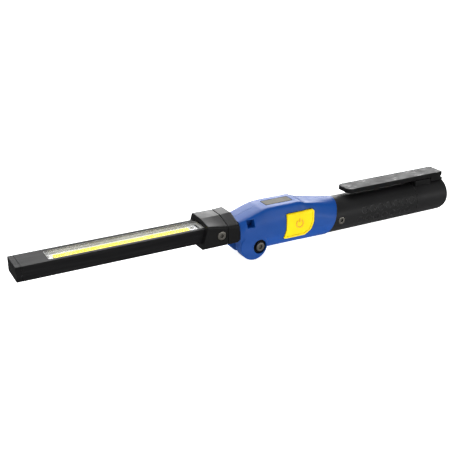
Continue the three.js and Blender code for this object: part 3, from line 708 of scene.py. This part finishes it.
def top_window():
    half, top = TOP_WINDOW["half"] - CLEAR, TOP_WINDOW["top"]
    start, end = TOP_WINDOW["start"] + CLEAR, TOP_WINDOW["end"] - CLEAR
    outline = filleted(rectangle(start, end, -half, half), 0.8)
    window = prism("window_pane", outline, "z", (top - 1.6, top), 0.3)
    settle(window, "handle", "top_window", "smoked_window")


# ---- Button ----------------------------------------------------------------------------------


def power_button():
    """Yellow cap with a raised rim, a shallow dish inside it and an embossed power sign."""
    outline = button_outline()
    proud = BUTTON["proud"]
    cap = prism("button_cap", outline, "y", (-proud, -12.1), 0.5)
    dish = flared("dish", button_outline(1.5), "y", (-proud + 0.35, -proud), 0.12)
    combine(cap, [dish])
    stem = prism("stem", circle(2, (33, 3.5), 40), "y", (-12.6, -8.3))
    web = prism("web", button_outline(1), "y", (-12.4, -9))
    flange = prism("flange", button_outline(-0.8), "y", (-9.3, -8.7))
    combine(flange, [prism("trim", rectangle(0, 60, -20, 11), "y", (-20, 0))], "INTERSECT")
    combine(cap, [stem, web, flange], "UNION")
    settle(cap, "button", "power_button", "yellow_button")
    centre = (34, 4.2)
    ring = arc(centre, 3.4, 125, 415, 40) + arc(centre, 2.5, 415, 125, 40)
    bar = filleted(rectangle(centre[0] - 0.45, centre[0] + 0.45, 5.2, 8.4), 0.3)
    marks = [prism("mark", shape, "y", (-proud + 0.05, -proud + 0.6), 0.15) for shape in (ring, bar)]
    sign = joined("power_sign", marks)
    settle(sign, "button", None, "yellow_button")
    sign.data.materials[0] = moulded("amber_sign", (0.9, 0.42, 0.006), (1.0, 0.6, 0.05), 0.4)


# ---- Collar and arm ---------------------------------------------------------------------------

HEAD_CRISPNESS = 22  # as CRISPNESS, for the collar and neck
HEAD_SLOPE = {"front": 0.13, "growth": 0.011}  # how steeply the cut-away edges fall


def head_ring(x, half_width, half_height, lean=0.0, rise=0.0, sides=240):
    """Section of the collar and neck. One top edge, and the bottom edge opposite, are cut away
    by a face that grows steeper rearwards, so the collar looks the same after half a turn."""
    slope = HEAD_SLOPE["front"] + HEAD_SLOPE["growth"] * (x - COLLAR["front"])
    ring = []
    for i in range(sides):
        angle = 2 * math.pi * i / sides
        c, s = math.cos(angle), math.sin(angle)
        height = half_height + (rise if s > 0 else 0)
        faces = [max(abs(c), 0.001) / half_width, abs(s) / height]
        if c * s < 0:
            faces[1] += abs(c) * slope / height
        length = sum(face**HEAD_CRISPNESS for face in faces) ** (-1 / HEAD_CRISPNESS)
        ring.append((x + lean * length * s, length * c, SWIVEL_Z + length * s))
    return ring


def screw_seat(centre, side, radius, floor, face, hole, depth):
    """Counterbore for a cross screw, from the face to its floor, with the shank's hole."""
    bore = circle(hole, centre, 32)
    return [
        flared("seat", circle(radius, centre), "y", (side * floor, side * face), 0.2),
        prism("hole", bore, "y", sorted((side * 20, side * depth))),
    ]


def swivel_collar():
    """Block that carries the blade, its front face leaning back and its end edges softened."""
    front, rear = COLLAR["front"], COLLAR["rear"]
    edge, rear_edge = 0.5, 0.4
    places = [front + edge * (1 - math.cos(math.pi / 12 * k)) for k in range(6)]
    places += [front + edge + (rear - rear_edge - front - edge) * k / 20 for k in range(21)]
    places += [rear - rear_edge + rear_edge * math.sin(math.pi / 8 * k) for k in range(1, 5)]
    rings = []
    for x in places:
        t = (x - front) / (rear - front)
        ahead = max(0, 1 - (x - front) / edge)
        behind = max(0, 1 - (rear - x) / rear_edge)
        pull = edge * (1 - math.sqrt(1 - ahead**2))
        pull += rear_edge * (1 - math.sqrt(max(0, 1 - behind**2)))
        lean = COLLAR["lean"] * (1 - t)
        rings.append(head_ring(x, COLLAR["half"] - 0.3 * t - pull, COLLAR["height"] - pull, lean))
    body = loft("collar", rings)
    half = BLADE["half"] + CLEAR
    opening = filleted(rectangle(-half, half, BLADE["low"] - CLEAR, BLADE["high"] + CLEAR), 0.9)
    tools = [prism("mouth", opening, "x", (front - 10, SPIGOT["end"] - CLEAR))]
    tools.append(prism("bore", circle(SPIGOT["radius"] + 0.1, (0, SWIVEL_Z)), "x", (front, rear + 1)))
    for side in (-1, 1):
        tools += screw_seat(COLLAR_SCREW, side, radius=3.8, floor=11.5, face=13.8, hole=1.9, depth=5)
    settle(combine(body, tools), "blade", "swivel_collar", "black_plastic")


def tangent_angle(x, z, side):
    """Where on the knuckle a line from the point touches it, in degrees."""
    rise = z - PIVOT_Z
    return math.degrees(math.atan2(rise, x) + side * math.acos(KNUCKLE / math.hypot(x, rise)))


def hinge_arm():
    front, rear = NECK["front"], NECK["rear"]
    rings = []
    for k in range(31):
        x = front + (rear - front) * k / 30
        fade = max(0, (x - rear + 2) / 2)
        rear_edge = 1.4 * fade * fade
        front_edge = 0.3 * max(0, 1 - (x - front) / 0.4) ** 2
        trim = rear_edge + front_edge
        rise = NECK["rise"] * (x - front) / (rear - front)
        rings.append(head_ring(x, NECK["half"] - trim * 0.4, NECK["height"] - trim, rise=rise))
    arm = loft("arm", rings)
    upper, lower = (rear - 1, 11), (rear - 1, 1.2)
    start, end = tangent_angle(*lower, 1), tangent_angle(*upper, -1) + 360
    outline = [upper, lower] + arc((0, PIVOT_Z), KNUCKLE, start, end, 70)
    tongue = prism("tongue", outline, "y", (-TONGUE_HALF, TONGUE_HALF), 0.5)
    end_x, radius, bottom = SPIGOT["end"], SPIGOT["radius"], SPIGOT["groove_radius"]
    groove_start = SPIGOT["groove"] - SPIGOT["groove_half"]
    groove_end = SPIGOT["groove"] + SPIGOT["groove_half"]
    profile = [
        (end_x, radius - 0.5),
        (end_x + 0.5, radius),
        (groove_start, radius),
        (groove_start, bottom),
        (groove_end, bottom),
        (groove_end, radius),
        (front + 1, radius),
    ]
    spigot = turned("spigot", profile, centre=(0, SWIVEL_Z))
    combine(arm, [tongue, spigot], "UNION")
    wires = prism("wires", circle(2.4, (0, SWIVEL_Z), 40), "x", (end_x - 1, -8))
    bore = prism("bore", circle(2.7, (0, PIVOT_Z), 48), "y", (-20, 20))
    settle(combine(arm, [wires, bore]), "arm", "hinge_arm", "black_plastic")


# ---- Blade -------------------------------------------------------------------------------------


def blade_channel():
    half, low, high = BLADE["half"], BLADE["low"], BLADE["high"]
    section = filleted(rectangle(-half, half, low, high), 0.8)
    bar = prism("channel", section, "x", (BLADE["join"] + 0.06, BLADE["root"]), 0.1, 2)
    inner = half - 2.1
    hollow = prism("hollow", rectangle(-inner, inner, low + 2, high - 1.6), "x", (-180, 0))
    reach = WINDOW["half"]
    outline = filleted(rectangle(WINDOW["start"], WINDOW["end"] + 2, -reach, reach), 1.2)
    opening = flared("opening", outline, "z", (low + 4, high), 0.3)
    settle(combine(bar, [hollow, opening]), "blade", "blade_channel", "blade_black")


def blade_tip():
    half, low, high = BLADE["half"], BLADE["low"], BLADE["high"]
    section = filleted(rectangle(-half, half, low, high), 1.0)
    cap = prism("tip_cap", section, "x", (BLADE["tip"], BLADE["join"] - 0.06), 0.25, 3)
    plug = prism("plug", rectangle(-half + 2.5, half - 2.5, low + 2.4, high - 2), "x", (-175.5, -167))
    settle(combine(cap, [plug], "UNION"), "blade", "blade_tip", "black_plastic", finish="blade_black")


def led_parts():
    plan = filleted(rectangle(BOARD["start"], BOARD["end"], -BOARD["half"], BOARD["half"]), 0.6)
    board = prism("light_board", plan, "z", (BOARD["low"], BOARD["high"]), 0.1, 2)
    settle(board, "blade", "led_board", "led_board")
    gel = filleted(rectangle(STRIP["start"], STRIP["end"], -STRIP["half"], STRIP["half"]), 1.4)
    bead = prism("light_strip", gel, "z", (10.9, 11.6), 0.5, 5)
    settle(bead, "blade", "led_strip", "led_phosphor")
    pads = []
    for x in (-153.6, -47.4):
        for y in (-2.6, 2.6):
            spot = filleted(rectangle(x - 1.3, x + 1.3, y - 1.1, y + 1.1), 0.4)
            pads.append(prism("pad", spot, "z", (10.55, 10.95), 0.15, 3))
    settle(joined("solder_pads", pads), "blade", None, "screw_steel")
    reach = WINDOW["half"]
    outer = filleted(rectangle(WINDOW["start"] + 0.02, -42.3, -reach + 0.02, reach - 0.02), 1.2)
    inner = filleted(rectangle(WINDOW["start"] + 0.25, -42.5, -reach + 0.25, reach - 0.25), 1.0)
    liner = prism("reflector", outer, "z", (10.62, 13.5), 0.04, 2)
    combine(liner, [prism("inside", inner, "z", (10, 14))])
    settle(liner, "blade", None, "led_board", finish="window_wall")
    reach -= CLEAR
    cover = filleted(rectangle(WINDOW["start"] + CLEAR, WINDOW["end"] - CLEAR, -reach, reach), 1.0)
    lens = prism("cover", cover, "z", (12.4, 13.4), 0.2)
    settle(lens, "blade", "blade_lens", "clear_lens")


# ---- Screws ---------------------------------------------------------------------------------------


def hexagon(across_flats, centre):
    radius = across_flats / math.sqrt(3)
    return [(centre[0] + a, centre[1] + b) for a, b in circle(radius, (0, 0), 6)]


def socket_screw(name, body, stands_for, centre, side, head, shank, socket, proud, seat, tip, slot):
    """Button-head screw across the lamp, its head on one side, with a hexagon socket."""
    crown = 0.45
    outline = [(tip, shank), (seat, shank), (seat, head), (proud - crown, head)]
    for angle in (0.5, 1, 1.35):
        drop = crown * (1 - math.sin(angle))
        narrowing = crown * 1.4 * (1 - math.cos(angle))
        outline.append((proud - drop, head - narrowing))
    outline.append((proud, head * 0.72))
    profile = [(side * at, radius) for at, radius in outline]
    screw = turned(name, profile, "y", centre, 64)
    key = flared("key", hexagon(socket, centre), "y", (side * (proud - 1.1), side * proud), 0.12)
    settle(combine(screw, [key]), body, stands_for, slot)


def screws():
    for name, side in (("near", -1), ("far", 1)):
        socket_screw(
            f"collar_bolt_{name}", "blade", f"collar_screw_{name}", COLLAR_SCREW, side,
            head=3.4, shank=1.6, socket=2.6, proud=13.6, seat=11.8, tip=6.05, slot="screw_steel",
        )
        socket_screw(
            f"grip_bolt_{name}", "handle", f"grip_screw_{name}", GRIP_SCREW, side,
            head=3.0, shank=1.5, socket=2.4, proud=13.9, seat=12.8, tip=7.5, slot="screw_steel",
        )
    socket_screw(
        "pivot_bolt", "handle", "pivot_screw", (0, PIVOT_Z), -1,
        head=3.35, shank=2.2, socket=3.0, proud=14.6, seat=12.6, tip=-13.4, slot="screw_steel",
    )
    nut = prism("nut", hexagon(7, (0, PIVOT_Z)), "y", (11.9, 14.6), 0.35, 3)
    combine(nut, [prism("thread", circle(2.45, (0, PIVOT_Z), 48), "y", (10, 20))])
    settle(nut, "handle", "pivot_nut", "dark_steel")
    washer = prism("washer", circle(5.1, (0, PIVOT_Z)), "y", (-12.4, -11.5), 0.2, 3)
    combine(washer, [prism("eye", circle(2.5, (0, PIVOT_Z), 48), "y", (-13, -11))])
    settle(washer, "handle", "pivot_washer", "dark_steel")


# ---- Grip -------------------------------------------------------------------------------------------


def grip_dimples():
    """Staggered rows of shallow hexagonal dimples with sloping walls, from the near side round
    underneath to the far side."""
    first_row, row_step = -14, 29.7  # degrees round the grip
    first_column, pitch = 95.3, 7.85
    top = GRIP["radius"] + 0.6
    floor = GRIP["radius"] - 0.7
    dimples = []
    for row in range(8):
        turn = Matrix.Rotation(math.radians(first_row + row_step * row), 4, "X")
        shift = -pitch / 2 if row % 2 else 0
        for column in range(7):
            x = first_column + shift + pitch * column
            rings = []
            for depth, across in ((floor, 4.4), (floor + 0.25, 4.9), (top, 6.0)):
                outline = filleted(hexagon(across, (x, 0)), 0.5)
                rings.append([turn @ Vector((a, -depth, b)) for a, b in outline])
            dimples.append(loft("dimple", rings))
    return joined("dimples", dimples)


def grip_sleeve():
    end, radius = GRIP["end"], GRIP["radius"]
    profile = [(58, radius)] + [(60 + 2.93 * k, radius) for k in range(30)]
    profile += [(end - 0.3, radius), (end - 0.08, radius - 0.09), (end, radius - 0.3)]
    barrel = combine(turned("grip", profile, sides=180), [seam_prism("ahead", -1, SEAM["gap"])])
    combine(barrel, [turned("spigot", [(57, GRIP["spigot"]), (76, GRIP["spigot"])])], "UNION")
    tools = [turned("bore", [(55, GRIP["bore"]), (160, GRIP["bore"])]), grip_dimples()]
    for side in (-1, 1):
        tools += screw_seat(GRIP_SCREW, side, radius=3.3, floor=12.6, face=13.95, hole=1.8, depth=9)
    settle(combine(barrel, tools), "handle", "grip_sleeve", "grip_black")


def rear_cap():
    front, radius = GRIP["end"] + CLEAR, GRIP["radius"]
    outer = [(141.2, 10.6), (144, 10.6), (144, 9.5), (146.2, 9.5), (146.2, 10.6), (front, 10.6)]
    outer += [(front, radius - 0.3), (front + 0.09, radius - 0.09), (front + 0.3, radius)]
    outer += [(REAR - 4, radius), (REAR - 3, 13.85), (REAR - 1.2, 13.2), (REAR - 0.4, 12.75), (REAR, 12.2)]
    cap = turned("end_cap", outer, sides=144)
    combine(cap, [turned("socket", [(140, 7.6), (150, 7.6)])])
    pocket = [(REAR - 3.6, 9.6), (REAR - 0.3, 9.6), (REAR + 0.5, 10.4)]
    combine(cap, [turned("pocket", pocket)])
    settle(cap, "handle", "rear_cap", "black_plastic", finish="grip_black")
    disc = [(REAR - 3.3, 9.3), (REAR - 0.9, 9.3), (REAR - 0.62, 9.18), (REAR - 0.5, 8.9)]
    settle(turned("magnet", disc), "handle", "rear_magnet", "magnet_steel")


# ---- Clip --------------------------------------------------------------------------------------------


def clip_plan():
    """Plan view of the arm: a rounded tip and a nearly square tail."""
    tip, tail, half = CLIP["tip"], CLIP["tail"], CLIP["half"]
    corners = [(tip, half, 4.6), (tip, -half, 4.6), (tail, -half, 1.6), (tail, half, 1.6)]
    return filleted(corners, 1, 12)


def clip_block():
    """Block on the grip; behind the pin it is narrower and slopes, so the tail can sink."""
    base, half = CLIP["base"], CLIP["half"]
    block = [(base, 8), (base, 16.5), (163, 16.5), (179.6, 14.8), (179.6, 8)]
    body = prism("clip_block", block, "y", (-half, half), 0.5)
    inside = half - CLIP["skirt"] - CLEAR
    barrel = GRIP["radius"] + 0.25
    tools = [turned("barrel", [(140, barrel), (190, barrel)], sides=180)]
    for span in ((-20, -inside), (inside, 20)):
        tools.append(prism("beside", rectangle(165.4, 190, 0, 30), "y", span))
    tools.append(prism("lug_slot", rectangle(160.4, 167.6, -5.3, 5.3), "z", (12, 20)))
    pin = (CLIP_PIN["x"], CLIP_PIN["z"])
    tools.append(prism("pin_hole", circle(CLIP_PIN["radius"] + 0.1, pin, 32), "y", (-7, 7)))
    settle(combine(body, tools), "handle", "clip_base", "clip_black")


def clip_arm():
    """Sprung arm: skirts on its tail reach down either side of the narrow part of the block."""
    half, low, high = CLIP["half"], CLIP["low"], CLIP["high"]
    pin = (CLIP_PIN["x"], CLIP_PIN["z"])
    arm = prism("clip_blade", clip_plan(), "z", (low, high), 0.55, 4)
    tail, skirt = CLIP["tail"], CLIP["skirt"]
    flank = [(166, low + 1), (166, 13.6), (tail - 1.6, 13.6), (tail - 1.6, low + 1)]
    spans = ((-half, skirt - half), (half - skirt, half))
    combine(arm, [prism("skirt", flank, "y", span, 0.15, 2) for span in spans], "UNION")
    reach = 1.25
    lug = [(pin[0] + reach, low + 1), (pin[0] - reach, low + 1)] + arc(pin, reach, 180, 360, 24)
    combine(arm, [prism("lug", lug, "y", (-2, 2))], "UNION")
    combine(arm, [prism("pin_bore", circle(CLIP_PIN["radius"] + 0.05, pin, 32), "y", (-6, 6))])
    settle(arm, "clip", "clip_arm", "clip_black", finish="clip_worn")


def charge_socket():
    shell = prism("inlet_shell", socket_outline(), "y", (5.7, 13.7), 0.2, 3)
    combine(shell, [prism("inlet_gap", inset(socket_outline(), 0.4), "y", (7, 15))])
    settle(shell, "handle", "charge_socket", "screw_steel")


def add_floor():
    """Wide pale floor just under the lamp, in metres; glossy faces don't mirror it."""
    reach, level = 20, -0.0005
    maker = bmesh.new()
    corners = rectangle(-reach, reach, -reach, reach)
    maker.faces.new([maker.verts.new((x, y, level)) for x, y in corners])
    floor = new_piece("floor", maker)
    g = Graph("pale_floor")
    g.link(g.blend(g.noise(3, 2), (0.9, 0.9, 0.9), (0.94, 0.94, 0.94)), g.shader.inputs["Base Color"])
    g.set(Roughness=0.9, Specular_IOR_Level=0.1, Emission_Color=(1, 1, 1, 1), Emission_Strength=0.9)
    floor.data.materials.append(g.material)
    floor.visible_glossy = False


SCENE.view_settings.view_transform = "Standard"
add_camera()
add_lights()
add_floor()
dress_cad_nodes()
housing_shells()
top_window()
power_button()
swivel_collar()
hinge_arm()
blade_channel()
blade_tip()
led_parts()
screws()
grip_sleeve()
rear_cap()
clip_block()
clip_arm()
charge_socket()
